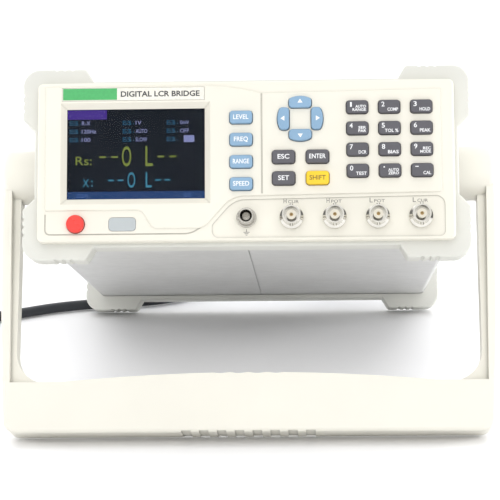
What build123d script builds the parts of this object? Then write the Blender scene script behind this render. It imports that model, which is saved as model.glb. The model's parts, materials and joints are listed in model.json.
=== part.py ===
from build123d import *
import math
import os

# Bench LCR meter: a half-width, two-unit-high instrument that stands tilted back,
# its front end held up by a swivelling U-shaped handle.
#
# Case coordinates, used for every part that is fixed to the case:
#   x       to the right, from the case's middle
#   depth   away from the user, from the front faces of the front bumper
#   height  upwards, from the case's middle
# World coordinates: +Z up, the table is z = 0, +Y points away from the user.

# ---------------------------------------------------------------- driving dimensions (mm)
tilt = 19.5                     # how far the front of the case is tipped up, degrees
world_back = 134.0              # from the case's own zero depth line to the world origin

bumper_half_width = 119.3
bumper_half_height = 51.7
bumper_depth = 18.0
bumper_edge = 1.2               # edge rounding
case_length = 298.0             # front face of front bumper to rear face of rear bumper

sleeve_width = 220.5
sleeve_height = 84.0
sleeve_wall = 1.2
sleeve_corner = 4.0
sleeve_start = 3.0
sleeve_end = 288.0

panel_width = 220.9
panel_height = 85.6
panel_corner = 3.0
frame_depth = -6.9              # level of the panel's outer frame
field_depth = -7.5              # level of the raised field with screen and keys
field_bevel = 0.55
zone_depth = -6.4               # level of the lowered zone with the jacks
wall_back = -4.5                # inner face of the panel's front wall
skirt_width = 217.7
skirt_height = 81.2
skirt_wall = 1.4
skirt_length = 12.0

screen_x = -58.3
screen_height = 4.5
screen_width = 73.4
screen_tall = 48.4
screen_bevel = 3.1

label_x = -59.5
label_height = 36.3
label_width = 75.6
label_tall = 6.8
seat_margin = 0.2               # round the label strip in its seat

cover_x = -65.2
cover_height = -33.5
cover_width = 14.3
cover_tall = 7.1

key_front = -9.7
key_corner = 1.7
key_edge = 0.7                  # rounding of a key's front
arrow_corner = 1.9
key_flange = 0.9                # how far a key's flange sticks out behind the panel
key_gap = 0.35                  # all round, between a key and its hole
key_travel = 1.2
flange_front = -4.15
flange_back = -3.2
stem_back = -1.7

ring_x = 29.15                  # middle of the ring of arrow keys
ring_height = 21.85
ring_radius = 12.1
ring_inner = 5.8

power_x = -89.95
power_height = -33.3
power_radius = 4.7
power_travel = 3.0
power_front = -10.3
power_stem_back = -1.0

jack_height = -30.6
jack_first_x = 24.2
jack_pitch = 22.65
jack_count = 4
jack_thread = 4.6               # radii of a jack's parts
jack_flange = 6.3
jack_barrel = 4.85
jack_bore = 4.05
insulator_radius = 2.55
contact_radius = 1.0
fit_gap = 0.05                  # round a part that sits inside another one
flange_thick = 2.2
barrel_length = 10.4
barrel_floor = -10.0            # where a jack's open end stops
jack_back = 3.5
ground_x = 0.4
ground_thread = 3.3
ground_flange_thick = 1.6
ground_barrel_length = 7.0
ground_bore_length = 12.0
ground_bore = 2.05
funnel_depth = 2.6
nut_front = -4.45
nut_back = -2.2

hub_depth = 43.0
hub_radius = 15.4
hub_inner_x = 113.9
handle_half_width = 135.4
handle_reach = 144.3            # from the hub axis to the bar's outer face
handle_thick = 22.0
handle_edge = 2.0

inlet_x = 62.0
inlet_height = 8.0
panel_rear_depth = 287.5        # outer face of the rear panel

cord_radius = 3.5
cord_floor = 3.6                # height of the cord's middle line where it lies

coil_x = -238.0
coil_y = 118.0
coil_inner = 31.3
coil_outer = 45.9
coil_bottom = 1.1
coil_top = 15.5

# ---------------------------------------------------------------- derived dimensions
sin_tilt = math.sin(math.radians(tilt))
cos_tilt = math.cos(math.radians(tilt))

# The rear bumper's lower rear edge touches the table.
case_lift = (
    case_length * sin_tilt
    + bumper_half_height * cos_tilt
    - bumper_edge * (sin_tilt + cos_tilt - 1)
)
hub_lift = case_lift - hub_depth * sin_tilt

# The handle leans until the rear edge of its bar touches the table.
bar_reach = handle_reach - handle_edge
bar_half = handle_thick / 2 - handle_edge
handle_lean = math.degrees(
    math.acos((hub_lift - handle_edge) / math.hypot(bar_reach, bar_half))
    + math.atan2(bar_half, bar_reach)
)

os.makedirs("parts", exist_ok=True)

# ---------------------------------------------------------------- planes and helpers
case = Plane(
    origin=(0, -world_back, case_lift),
    x_dir=(1, 0, 0),
    z_dir=(0, sin_tilt, cos_tilt),
)
front_axis = Axis(case.origin, case.y_dir * -1)      # points at the user
rear_axis = Axis(case.origin, case.y_dir)


def spot(x, depth, height):
    """A point given in case coordinates."""
    return case.from_local_coords((x, depth, height))


def facing(depth, x=0, height=0, turn=0):
    """Plane parallel to the front panel; it looks at the user. Local axes: x, height."""
    across = Vector(1, 0, 0) * math.cos(math.radians(turn))
    upward = case.z_dir * math.sin(math.radians(turn))
    return Plane(origin=spot(x, depth, height), x_dir=across + upward, z_dir=case.y_dir * -1)


def level(height):
    """Plane parallel to the case's base. Local axes: x, depth."""
    return Plane(origin=spot(0, 0, height), x_dir=(1, 0, 0), z_dir=case.z_dir)


def sideways(x, depth=0, height=0):
    """Plane parallel to the case's sides; it looks to the right. Local axes: depth, height."""
    return Plane(origin=spot(x, depth, height), x_dir=case.y_dir, z_dir=(1, 0, 0))


bail = Plane(
    origin=spot(0, hub_depth, 0),
    x_dir=(1, 0, 0),
    z_dir=(0, -math.cos(math.radians(handle_lean)), math.sin(math.radians(handle_lean))),
)


hub_axis = Axis(bail.origin, (1, 0, 0))


def keep(piece, name):
    """Label a finished piece and write its STEP file."""
    piece.part.label = name
    export_step(piece.part, f"parts/{name}.step")


# ---------------------------------------------------------------- key layout
function_keys = {"key_level": 22.9, "key_freq": 11.0, "key_range": -0.9, "key_speed": -12.8}
edit_keys = {
    "key_esc": (20.2, 1.4),
    "key_enter": (38.1, 1.4),
    "key_set": (20.2, -10.0),
    "key_shift": (38.1, -10.0),
}
number_rows = [
    ["key_1", "key_2", "key_3"],
    ["key_4", "key_5", "key_6"],
    ["key_7", "key_8", "key_9"],
    ["key_0", "key_dot", "key_minus"],
]
number_x = 59.3
number_height = 27.7
number_pitch_x = 16.9
number_pitch_height = 11.36

# name: (x, height, width, tallness)
block_keys = {name: (-2.2, height, 12.0, 6.8) for name, height in function_keys.items()}
block_keys.update({name: (x, height, 12.0, 7.2) for name, (x, height) in edit_keys.items()})
for row_index, row in enumerate(number_rows):
    for column_index, name in enumerate(row):
        key_x = number_x + number_pitch_x * column_index
        key_height = number_height - number_pitch_height * row_index
        block_keys[name] = (key_x, key_height, 11.4, 7.0)

# name: direction of the key from the middle of the ring, degrees
arrow_keys = {"key_right": 0, "key_up": 90, "key_left": 180, "key_down": 270}


def arrow_outline(growth):
    """Segment of a disc with a flat inner side, lying along local +x."""
    outer = ring_radius + growth
    inner = ring_inner - growth
    Circle(outer)
    with Locations(((outer + inner) / 2 + 1, 0)):
        Rectangle(outer - inner + 2, 2 * (6.0 + growth), mode=Mode.INTERSECT)


# ---------------------------------------------------------------- front panel
field_low = [(-55.0, -26.2), (-49.3, -36.1), (-22.0, -36.1), (-7.0, -19.4)]
field_left = -106.4
field_right = 103.6
field_top_left = (-21.3, 40.6)
field_top_middle = (-5.3, 39.3)
field_top_right = (8.8, 36.3)


jack_xs = [jack_first_x + jack_pitch * index for index in range(jack_count)]

with BuildPart() as front_panel:
    with BuildSketch(facing(0)):
        RectangleRounded(panel_width, panel_height, panel_corner)
    extrude(amount=-frame_depth)
    fillet(front_panel.faces().sort_by(front_axis)[-1].edges(), 1.5)
    with BuildSketch(facing(0)):
        RectangleRounded(skirt_width, skirt_height, panel_corner)
    extrude(amount=-skirt_length)
    with BuildSketch(facing(skirt_length)):
        RectangleRounded(skirt_width - 2 * skirt_wall, skirt_height - 2 * skirt_wall, 2)
    extrude(amount=skirt_length - wall_back, mode=Mode.SUBTRACT)
    # raised field: straight top left, curved step, wavy lower edge
    with BuildSketch(facing(frame_depth)):
        with BuildLine():
            lower = FilletPolyline(
                (field_left, 0),
                (field_left, field_low[0][1]),
                *field_low,
                (field_right, -18.0),
                (field_right, 0),
                radius=[1.0, 4.5, 4.5, 9.0, 15.0, 1.5],
            )
            right = Line(lower @ 1, (field_right, 37.6))
            top = Line(right @ 1, field_top_right)
            step = ThreePointArc(top @ 1, field_top_middle, field_top_left)
            rest = Line(step @ 1, (field_left, field_top_left[1]))
            Line(rest @ 1, lower @ 0)
        make_face()
    extrude(amount=frame_depth - field_depth)
    field_rim = front_panel.faces().sort_by(front_axis)[-1].outer_wire().edges()
    chamfer(field_rim, field_bevel)
    # lowered zone round the jacks
    with BuildSketch(facing(frame_depth)):
        with BuildLine():
            FilletPolyline(
                (-17.8, -41.2),
                (-17.8, -34.2),
                (-5.9, -20.9),
                (105.0, -19.5),
                (105.0, -41.2),
                radius=[3.5, 2.5, 13.0, 5.0, 3.0],
                close=True,
            )
        make_face()
    extrude(amount=frame_depth - zone_depth, mode=Mode.SUBTRACT)
    # fine groove left of the keypad
    with BuildSketch(facing(field_depth)):
        with Locations((8.7, 9.0)):
            Rectangle(0.9, 53.6)
    extrude(amount=-0.5, mode=Mode.SUBTRACT)
    # fine groove below the power button, ending in the wavy step
    with BuildSketch(facing(frame_depth)):
        with BuildLine():
            FilletPolyline(
                (field_left + 0.3, -28.0),
                (field_left + 0.3, -38.8),
                (-29.0, -38.8),
                (-20.5, -33.6),
                radius=[2.5, 12.0],
            )
        trace(line_width=0.7)
    extrude(amount=-0.45, mode=Mode.SUBTRACT)
    # screen opening with sloping sides
    with BuildSketch(facing(field_depth, screen_x, screen_height)):
        Rectangle(screen_width + 2 * screen_bevel, screen_tall + 2 * screen_bevel)
    with BuildSketch(facing(wall_back, screen_x, screen_height)):
        Rectangle(screen_width, screen_tall)
    loft(mode=Mode.SUBTRACT)
    # shallow seat for the label strip
    with BuildSketch(facing(field_depth, label_x, label_height)):
        Rectangle(label_width + 2 * seat_margin, label_tall + 2 * seat_margin)
    extrude(amount=-0.6, mode=Mode.SUBTRACT)
    # holes for keys, button and sockets
    with BuildSketch(facing(field_depth)):
        for x, height, width, tall in block_keys.values():
            with Locations((x, height)):
                RectangleRounded(width + 2 * key_gap, tall + 2 * key_gap, key_corner + key_gap)
    extrude(amount=field_depth - wall_back, mode=Mode.SUBTRACT)
    for turn in arrow_keys.values():
        with BuildSketch(facing(field_depth, ring_x, ring_height, turn)) as arrow_hole:
            arrow_outline(key_gap)
            fillet(arrow_hole.vertices(), arrow_corner + key_gap)
        extrude(amount=field_depth - wall_back, mode=Mode.SUBTRACT)
    with BuildSketch(facing(frame_depth)):
        with Locations((power_x, power_height)):
            Circle(power_radius + key_gap)
        with Locations([(x, jack_height) for x in jack_xs]):
            Circle(jack_thread + 0.2)
        with Locations((ground_x, jack_height)):
            Circle(ground_thread + 0.2)
    extrude(amount=frame_depth - wall_back, mode=Mode.SUBTRACT)
    with BuildSketch(facing(frame_depth, cover_x, cover_height)):
        RectangleRounded(cover_width + 0.3, cover_tall + 0.3, 2.2)
    extrude(amount=-1.3, mode=Mode.SUBTRACT)
keep(front_panel, "front_panel")

with BuildPart() as label_strip:
    with BuildSketch(facing(field_depth + 0.58, label_x, label_height)):
        Rectangle(label_width, label_tall)
    extrude(amount=0.68)
keep(label_strip, "label_strip")

with BuildPart() as port_cover:
    with BuildSketch(facing(frame_depth + 1.28, cover_x, cover_height)):
        RectangleRounded(cover_width, cover_tall, 2.05)
    extrude(amount=1.6)
    fillet(port_cover.faces().sort_by(front_axis)[-1].edges(), 0.25)
keep(port_cover, "port_cover")

# ---------------------------------------------------------------- screen
with BuildPart() as lcd_window:
    with BuildSketch(facing(-3.1, screen_x, screen_height)):
        Rectangle(81.4, 57.0)
    extrude(amount=1.3)
keep(lcd_window, "lcd_window")

with BuildPart() as lcd_module:
    with BuildSketch(facing(2.2, screen_x, screen_height)):
        Rectangle(81.0, 56.6)
    extrude(amount=4.9)
keep(lcd_module, "lcd_module")

# ---------------------------------------------------------------- keys
for name, (x, height, width, tall) in block_keys.items():
    with BuildPart() as block_key:
        with BuildSketch(facing(flange_back, x, height)):
            RectangleRounded(width, tall, key_corner)
        extrude(amount=flange_back - key_front)
        fillet(block_key.faces().sort_by(front_axis)[-1].edges(), key_edge)
        with BuildSketch(facing(flange_back, x, height)):
            RectangleRounded(width + 2 * key_flange, tall + 2 * key_flange, key_corner)
        extrude(amount=flange_back - flange_front)
        with BuildSketch(facing(flange_back, x, height)):
            Rectangle(5.0, 3.0)
        extrude(amount=flange_back - stem_back)
    keep(block_key, name)

for name, turn in arrow_keys.items():
    with BuildPart() as arrow_key:
        with BuildSketch(facing(flange_back, ring_x, ring_height, turn)) as cap:
            arrow_outline(0)
            fillet(cap.vertices(), arrow_corner)
        extrude(amount=flange_back - key_front)
        fillet(arrow_key.faces().sort_by(front_axis)[-1].edges(), key_edge)
        with BuildSketch(facing(flange_back, ring_x, ring_height, turn)):
            with Locations((ring_radius - 0.6, 0)):
                Rectangle(3.2, 4.0)
        extrude(amount=flange_back - flange_front)
        with BuildSketch(facing(flange_back, ring_x, ring_height, turn)):
            with Locations(((ring_radius + ring_inner) / 2, 0)):
                Rectangle(3.0, 5.0)
        extrude(amount=flange_back - stem_back)
    keep(arrow_key, name)

with BuildPart() as power_button:
    with BuildSketch(facing(flange_back, power_x, power_height)):
        Circle(power_radius)
    extrude(amount=flange_back - power_front)
    fillet(power_button.faces().sort_by(front_axis)[-1].edges(), 1.0)
    with BuildSketch(facing(flange_back, power_x, power_height)):
        Circle(power_radius + 0.7)
    extrude(amount=flange_back - flange_front)
    with BuildSketch(facing(flange_back, power_x, power_height)):
        Circle(2.0)
    extrude(amount=flange_back - power_stem_back)
keep(power_button, "power_button")

# ---------------------------------------------------------------- behind the keys
keypad_x = 44.5
keypad_height = 9.3
keypad_size = (113.0, 56.6)
membrane_back = 1.2
board_back = 3.1
board_thick = 1.6
key_play = 0.3                  # left under a key that is fully pressed
switch_play = 0.4
switch_back = 20.0
key_spots = [(x, height) for x, height, width, tall in block_keys.values()]
for turn in arrow_keys.values():
    reach = (ring_radius + ring_inner) / 2
    dome_x = ring_x + reach * math.cos(math.radians(turn))
    key_spots.append((dome_x, ring_height + reach * math.sin(math.radians(turn))))

with BuildPart() as key_membrane:
    with BuildSketch(facing(membrane_back)):
        with Locations((keypad_x, keypad_height)):
            Rectangle(*keypad_size)
    extrude(amount=membrane_back)
    with BuildSketch(facing(0)):
        with Locations(key_spots):
            Circle(2.0)
    extrude(amount=-(stem_back + key_travel + key_play))
keep(key_membrane, "key_membrane")

with BuildPart() as key_board:
    with BuildSketch(facing(board_back)):
        with Locations((keypad_x, keypad_height)):
            Rectangle(*keypad_size)
    extrude(amount=board_thick)
    # two small plugs for ribbon leads on the back
    with BuildSketch(facing(board_back)):
        with Locations((keypad_x - 30, 25), (keypad_x + 25, -8)):
            Rectangle(12, 8)
    extrude(amount=-2.5)
keep(key_board, "key_board")

with BuildPart() as power_switch:
    with BuildSketch(facing(switch_back, power_x, power_height)):
        Rectangle(11.0, 11.0)
    extrude(amount=switch_back - power_stem_back - power_travel - switch_play)
keep(power_switch, "power_switch")

# ---------------------------------------------------------------- measuring jacks
jack_spots = [(x, jack_height) for x in jack_xs]
lug_depth = -15.5
lug_reach = 5.8                 # from a jack's axis to the end of a lug
insulator_front = -17.5
contact_front = -17.1
contact_back = 7.5

with BuildPart() as bnc_bodies:
    with BuildSketch(facing(jack_back)):
        with Locations(jack_spots):
            Circle(jack_thread)
    extrude(amount=jack_back - zone_depth)
    with BuildSketch(facing(zone_depth)):
        with Locations(jack_spots):
            Circle(jack_flange)
    extrude(amount=flange_thick)
    fillet(bnc_bodies.edges().filter_by(GeomType.CIRCLE).group_by(SortBy.RADIUS)[-1], 0.4)
    with BuildSketch(facing(zone_depth - flange_thick)):
        with Locations(jack_spots):
            Circle(jack_barrel)
    extrude(amount=barrel_length)
    # bayonet lugs, above and below the barrel
    for x in jack_xs:
        with BuildSketch(level(jack_height - lug_reach)):
            with Locations((x, lug_depth)):
                Circle(1.0)
        extrude(amount=2 * lug_reach)
    with BuildSketch(facing(barrel_floor)):
        with Locations(jack_spots):
            Circle(jack_bore)
    extrude(amount=barrel_length, mode=Mode.SUBTRACT)
    with BuildSketch(facing(jack_back)):
        with Locations(jack_spots):
            Circle(insulator_radius + fit_gap)
    extrude(amount=jack_back - insulator_front, mode=Mode.SUBTRACT)
keep(bnc_bodies, "bnc_bodies")

with BuildPart() as bnc_insulators:
    with BuildSketch(facing(jack_back)):
        with Locations(jack_spots):
            Circle(insulator_radius)
            Circle(contact_radius + fit_gap, mode=Mode.SUBTRACT)
    extrude(amount=jack_back - insulator_front)
keep(bnc_insulators, "bnc_insulators")

with BuildPart() as bnc_contacts:
    with BuildSketch(facing(contact_back)):
        with Locations(jack_spots):
            Circle(contact_radius)
    extrude(amount=contact_back - contact_front)
    with BuildSketch(facing(contact_front)):
        with Locations(jack_spots):
            Circle(0.65)
    extrude(amount=-5, mode=Mode.SUBTRACT)
keep(bnc_contacts, "bnc_contacts")

with BuildPart() as ground_terminal:
    with BuildSketch(facing(zone_depth, ground_x, jack_height)):
        Circle(5.3)
    extrude(amount=ground_flange_thick)
    fillet(ground_terminal.faces().sort_by(front_axis)[-1].edges(), 0.4)
    with BuildSketch(facing(2.0, ground_x, jack_height)):
        Circle(ground_thread)
    extrude(amount=2.0 - zone_depth)
    with BuildSketch(facing(zone_depth - ground_flange_thick, ground_x, jack_height)):
        Circle(4.0)
    extrude(amount=ground_barrel_length)
    fillet(ground_terminal.faces().sort_by(front_axis)[-1].edges(), 0.5)
    # the plug bore, open towards the user, with a wide funnel in front
    ground_front = zone_depth - ground_flange_thick - ground_barrel_length
    with BuildSketch(facing(ground_front, ground_x, jack_height)):
        Circle(ground_bore)
    extrude(amount=-ground_bore_length, mode=Mode.SUBTRACT)
    with BuildSketch(facing(ground_front, ground_x, jack_height)):
        Circle(3.2)
    with BuildSketch(facing(ground_front + funnel_depth, ground_x, jack_height)):
        Circle(ground_bore)
    loft(mode=Mode.SUBTRACT)
keep(ground_terminal, "ground_terminal")

with BuildPart() as panel_nuts:
    with BuildSketch(facing(nut_back)):
        with Locations(jack_spots):
            RegularPolygon(7.2, 6)
            Circle(jack_thread + fit_gap, mode=Mode.SUBTRACT)
        with Locations((ground_x, jack_height)):
            RegularPolygon(5.6, 6)
            Circle(ground_thread + fit_gap, mode=Mode.SUBTRACT)
    extrude(amount=nut_back - nut_front)
keep(panel_nuts, "panel_nuts")

# ---------------------------------------------------------------- case sleeve and bumpers
with BuildPart() as case_sleeve:
    with BuildSketch(facing(sleeve_end)):
        RectangleRounded(sleeve_width, sleeve_height, sleeve_corner)
        RectangleRounded(
            sleeve_width - 2 * sleeve_wall,
            sleeve_height - 2 * sleeve_wall,
            sleeve_corner - sleeve_wall,
            mode=Mode.SUBTRACT,
        )
    extrude(amount=sleeve_end - sleeve_start)
    # butt seam along the middle of the underside
    with BuildSketch(facing(sleeve_end)):
        with Locations((0, -sleeve_height / 2)):
            Rectangle(0.7, 1.2)
    extrude(amount=sleeve_end - sleeve_start, mode=Mode.SUBTRACT)
    # holes for the handle's pivot screws
    with BuildSketch(sideways(-120, hub_depth)):
        Circle(3.3)
    extrude(amount=240, mode=Mode.SUBTRACT)
keep(case_sleeve, "case_sleeve")

ear_points = [(80.8, 44.0), (85.5, 51.7), (119.3, 51.7), (119.3, 24.2), (112.6, 17.8)]
notch_pitch = 4.2
notch_steps = [-notch_pitch, 0, notch_pitch]


def bumper(front_depth, name):
    """Protective frame round one end of the case, with an ear at each corner."""
    with BuildPart() as frame:
        with BuildSketch(facing(front_depth + bumper_depth)):
            RectangleRounded(226.0, 89.8, 6.0)
            for x_sign in (-1, 1):
                for height_sign in (-1, 1):
                    corner = [(x * x_sign, height * height_sign) for x, height in ear_points]
                    inside = (90.0 * x_sign, 30.0 * height_sign)
                    with BuildLine():
                        FilletPolyline(
                            inside, *corner, radius=[0, 0, 2.0, 9.0, 2.0, 0], close=True
                        )
                    make_face()
            RectangleRounded(221.1, 84.6, 4.3, mode=Mode.SUBTRACT)
        extrude(amount=bumper_depth)
        outer_front = frame.faces().sort_by(front_axis)[-1].outer_wire().edges()
        fillet(outer_front, bumper_edge)
        outer_rear = frame.faces().sort_by(rear_axis)[-1].outer_wire().edges()
        fillet(outer_rear, bumper_edge)
        # three shallow grip notches in the outer face of every leg
        with BuildSketch(facing(front_depth + bumper_depth)):
            for step in notch_steps:
                for sign in (-1, 1):
                    with Locations(
                        (97.0 + step, sign * (bumper_half_height + 0.5)),
                        (-97.0 + step, sign * (bumper_half_height + 0.5)),
                        (bumper_half_width + 0.5, sign * (33.5 + step)),
                        (-bumper_half_width - 0.5, sign * (33.5 + step)),
                    ):
                        Circle(1.3)
        extrude(amount=bumper_depth, mode=Mode.SUBTRACT)
    keep(frame, name)


bumper(0, "front_bumper")
bumper(case_length - bumper_depth, "rear_bumper")

# ---------------------------------------------------------------- rear panel and its fittings
screw_spots = [(x, height) for x in (-101, 101) for height in (-33, 33)]
serial_x = -28.0
serial_height = -4.0
vent_first_x = -88.0
drawer_height = inlet_height - 13.0
flange_height = inlet_height - 2.5
inlet_pins = [(-7, -1.5), (7, -1.5), (0, 2.5)]
inlet_face = panel_rear_depth + 2.6
serial_face = panel_rear_depth + 6.6

with BuildPart() as rear_panel:
    with BuildSketch(facing(panel_rear_depth)):
        RectangleRounded(217.4, 80.9, 2.4)
        with Locations((inlet_x, flange_height)):
            Rectangle(30.0, 32.5, mode=Mode.SUBTRACT)
        with Locations((serial_x, serial_height)):
            Rectangle(20.4, 11.0, mode=Mode.SUBTRACT)
        with Locations(screw_spots):
            Circle(1.8, mode=Mode.SUBTRACT)
        for index in range(7):
            with Locations((vent_first_x + 6.0 * index, 0)):
                SlotOverall(38.0, 3.0, rotation=90, mode=Mode.SUBTRACT)
    extrude(amount=1.5)
keep(rear_panel, "rear_panel")

with BuildPart() as case_screws:
    with BuildSketch(facing(panel_rear_depth)):
        with Locations(screw_spots):
            Circle(1.5)
    extrude(amount=12)
    with BuildSketch(facing(panel_rear_depth + 2.0)):
        with Locations(screw_spots):
            Circle(3.0)
    extrude(amount=2.0)
    for x, height in screw_spots:
        with BuildSketch(facing(panel_rear_depth + 2.0, x, height)):
            Rectangle(3.6, 0.8)
            Rectangle(0.8, 3.6)
        extrude(amount=1.0, mode=Mode.SUBTRACT)
keep(case_screws, "case_screws")

with BuildPart() as mains_inlet:
    with BuildSketch(facing(inlet_face, inlet_x, flange_height)):
        RectangleRounded(48.0, 37.0, 3.0)
    extrude(amount=2.6)
    with BuildSketch(facing(panel_rear_depth, inlet_x, flange_height)):
        Rectangle(29.6, 32.0)
    extrude(amount=25.0)
    with BuildSketch(facing(inlet_face, inlet_x, inlet_height)):
        RectangleRounded(24.8, 17.0, 2.5)
    extrude(amount=16.0, mode=Mode.SUBTRACT)
    with BuildSketch(facing(inlet_face, inlet_x, drawer_height)):
        Rectangle(22.4, 6.6)
    extrude(amount=14.0, mode=Mode.SUBTRACT)
    with BuildSketch(facing(panel_rear_depth - 0.9, inlet_x, inlet_height)):
        with Locations(inlet_pins):
            Rectangle(2.0, 4.0)
    extrude(amount=13.0)
keep(mains_inlet, "mains_inlet")

with BuildPart() as fuse_drawer:
    with BuildSketch(facing(panel_rear_depth + 3.6, inlet_x, drawer_height)):
        Rectangle(22.0, 6.2)
    extrude(amount=14.4)
keep(fuse_drawer, "fuse_drawer")

with BuildPart() as serial_port:
    with BuildSketch(facing(panel_rear_depth + 1.1, serial_x, serial_height)):
        RectangleRounded(31.0, 12.6, 1.5)
    extrude(amount=1.0)
    with BuildSketch(facing(panel_rear_depth + 0.1, serial_x, serial_height)):
        Rectangle(19.8, 10.4)
    extrude(amount=9.0)
    with BuildSketch(facing(serial_face, serial_x, serial_height)) as shell:
        Polygon((-8.6, 4.1), (8.6, 4.1), (7.4, -4.1), (-7.4, -4.1))
        fillet(shell.vertices(), 1.6)
    extrude(amount=5.5)
    with BuildSketch(facing(panel_rear_depth + 4.1, serial_x, serial_height)):
        with Locations((-12.5, 0), (12.5, 0)):
            RegularPolygon(2.6, 6)
    extrude(amount=3.0)
    # five and four pin sockets
    with BuildSketch(facing(serial_face, serial_x, serial_height)):
        with Locations([(2.76 * index - 5.52, 1.4) for index in range(5)]):
            Circle(0.55)
        with Locations([(2.76 * index - 4.14, -1.4) for index in range(4)]):
            Circle(0.55)
    extrude(amount=-4.0, mode=Mode.SUBTRACT)
keep(serial_port, "serial_port")

# ---------------------------------------------------------------- inside the case
tray_height = -39.4
board_height = -31.6
with BuildPart() as chassis_tray:
    with BuildSketch(facing(284)):
        with Locations((0, tray_height - 0.6)):
            Rectangle(212.0, 1.2)
        with Locations((-105.4, tray_height + 4.4), (105.4, tray_height + 4.4)):
            Rectangle(1.2, 11.2)
    extrude(amount=270)
keep(chassis_tray, "chassis_tray")

with BuildPart() as main_board:
    with BuildSketch(level(board_height)):
        with Locations((-30, 122)):
            Rectangle(130, 164)
    extrude(amount=1.6)
    with BuildSketch(level(board_height + 1.6)):
        with Locations((-45, 100), (-10, 140), (-60, 160)):
            Rectangle(14, 14)
        with Locations((5, 70), (-75, 75)):
            Rectangle(16, 8)
    extrude(amount=2.5)
keep(main_board, "main_board")

with BuildPart() as power_board:
    with BuildSketch(level(board_height)):
        with Locations((74, 110)):
            Rectangle(56, 110)
    extrude(amount=1.6)
    with BuildSketch(level(board_height + 1.6)):
        with Locations((62, 80), (62, 100), (62, 120)):
            Circle(6.0)
    extrude(amount=22)
    with BuildSketch(level(board_height + 1.6)):
        with Locations((85, 100)):
            Rectangle(4, 60)
    extrude(amount=25)
keep(power_board, "power_board")

transformer_spot = (70, 216)
standoff_spots = [(x, depth) for x in (-90, 28) for depth in (48, 196)]
standoff_spots += [(x, depth) for x in (52, 96) for depth in (60, 160)]
with BuildPart() as board_standoffs:
    with BuildSketch(level(tray_height)):
        with Locations(standoff_spots):
            RegularPolygon(3.0, 6)
    extrude(amount=board_height - tray_height)
keep(board_standoffs, "board_standoffs")

with BuildPart() as transformer:
    with BuildSketch(level(tray_height)):
        with Locations(transformer_spot):
            Rectangle(57, 48)
    extrude(amount=2.0)
    with BuildSketch(level(tray_height + 2.0)):
        with Locations(transformer_spot):
            Rectangle(50, 24)
    extrude(amount=42.0)
    with BuildSketch(level(tray_height + 8.0)):
        with Locations(transformer_spot):
            RectangleRounded(30, 44, 4)
    extrude(amount=30.0)
keep(transformer, "transformer")

# ---------------------------------------------------------------- handle
bar_side = -117.1               # bar's inner edge near the arms, below the hub axis
bar_middle = -112.4             # and at its middle
wall_x = 130.2                  # inner face of an arm's outer wall, at the hub
wall_low_x = 128.2              # and at the bar
web_x = 125.4                   # inner edge of an arm's thinner web
web_half = 6.0
pivot_radius = 3.0
head_seat_x = 131.6             # seat of a pivot screw's head
screw_end_x = 101.0             # inner end of a pivot screw
notch_count = 8
notch_spacing = 9.5

with BuildPart() as handle:
    # outer walls of the arms and the bar, at full thickness
    with BuildSketch(bail) as bow:
        with BuildLine():
            left = ThreePointArc(
                (-handle_half_width, 0),
                (-handle_half_width + 0.9, -66),
                (-handle_half_width + 4.6, -handle_reach),
            )
            base = Line(left @ 1, (handle_half_width - 4.6, -handle_reach))
            right = ThreePointArc(
                base @ 1,
                (handle_half_width - 0.9, -66),
                (handle_half_width, 0),
            )
            Line(right @ 1, left @ 0)
        make_face()
        with BuildLine():
            side = Line((-wall_x, 1), (-wall_low_x, bar_side))
            ledge = Line(side @ 1, (-100, bar_side))
            crown = ThreePointArc(ledge @ 1, (0, bar_middle), (100, bar_side))
            far_ledge = Line(crown @ 1, (wall_low_x, bar_side))
            far_side = Line(far_ledge @ 1, (wall_x, 1))
            Line(far_side @ 1, side @ 0)
        make_face(mode=Mode.SUBTRACT)
        fillet(bow.vertices().group_by(Axis.Y)[0], 7.0)
    extrude(amount=handle_thick / 2, both=True)
    # rounded long edges, running from hub to hub along the outside
    bar_base = handle.faces().sort_by(Axis.Z)[0]
    fillet(bar_base.edges().filter_by(Axis.X), handle_edge)
    # hubs, slightly tapered outwards, with rounded rims
    for sign in (-1, 1):
        with BuildSketch(bail):
            with BuildLine():
                inner_end = Line((sign * hub_inner_x, 0), (sign * hub_inner_x, hub_radius))
                flank = Line(inner_end @ 1, (sign * (handle_half_width - 4), hub_radius - 0.5))
                rim = JernArc(flank @ 1, (sign, 0), 4.0, -sign * 90)
                outer_end = Line(rim @ 1, (sign * handle_half_width, 0))
                Line(outer_end @ 1, inner_end @ 0)
            make_face()
        revolve(axis=hub_axis)
    # thinner webs inside the arms, rounded into the bar
    with BuildSketch(bail):
        with Locations((0, bar_side / 2)):
            Rectangle(2 * wall_x, -bar_side)
        with BuildLine():
            FilletPolyline(
                (-web_x, 1),
                (-web_x, bar_side),
                (web_x, bar_side),
                (web_x, 1),
                radius=[0, 17.0, 17.0, 0],
                close=True,
            )
        make_face(mode=Mode.SUBTRACT)
    extrude(amount=web_half, both=True)
    # five mm long grip notches across the bar's outer face
    with BuildSketch(bail):
        with GridLocations(notch_spacing, 1, notch_count, 1):
            with Locations((0, -handle_reach)):
                Rectangle(5.0, 1.6)
    extrude(amount=handle_thick / 2, both=True, mode=Mode.SUBTRACT)
    # shallow finger waves in the middle of the bar's inner edge
    with BuildSketch(bail):
        with Locations([(x, bar_middle + 12.3) for x in (-15, -5, 5, 15)]):
            Circle(12.9)
    extrude(amount=handle_thick / 2, both=True, mode=Mode.SUBTRACT)
    # bores for the pivot screws, with seats for their heads
    for sign in (-1, 1):
        with BuildSketch(sideways(sign * 110, hub_depth)):
            Circle(pivot_radius + 0.1)
        extrude(amount=sign * 30, mode=Mode.SUBTRACT)
        with BuildSketch(sideways(sign * head_seat_x, hub_depth)):
            Circle(7.0)
        extrude(amount=sign * 10, mode=Mode.SUBTRACT)
keep(handle, "handle")

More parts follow.
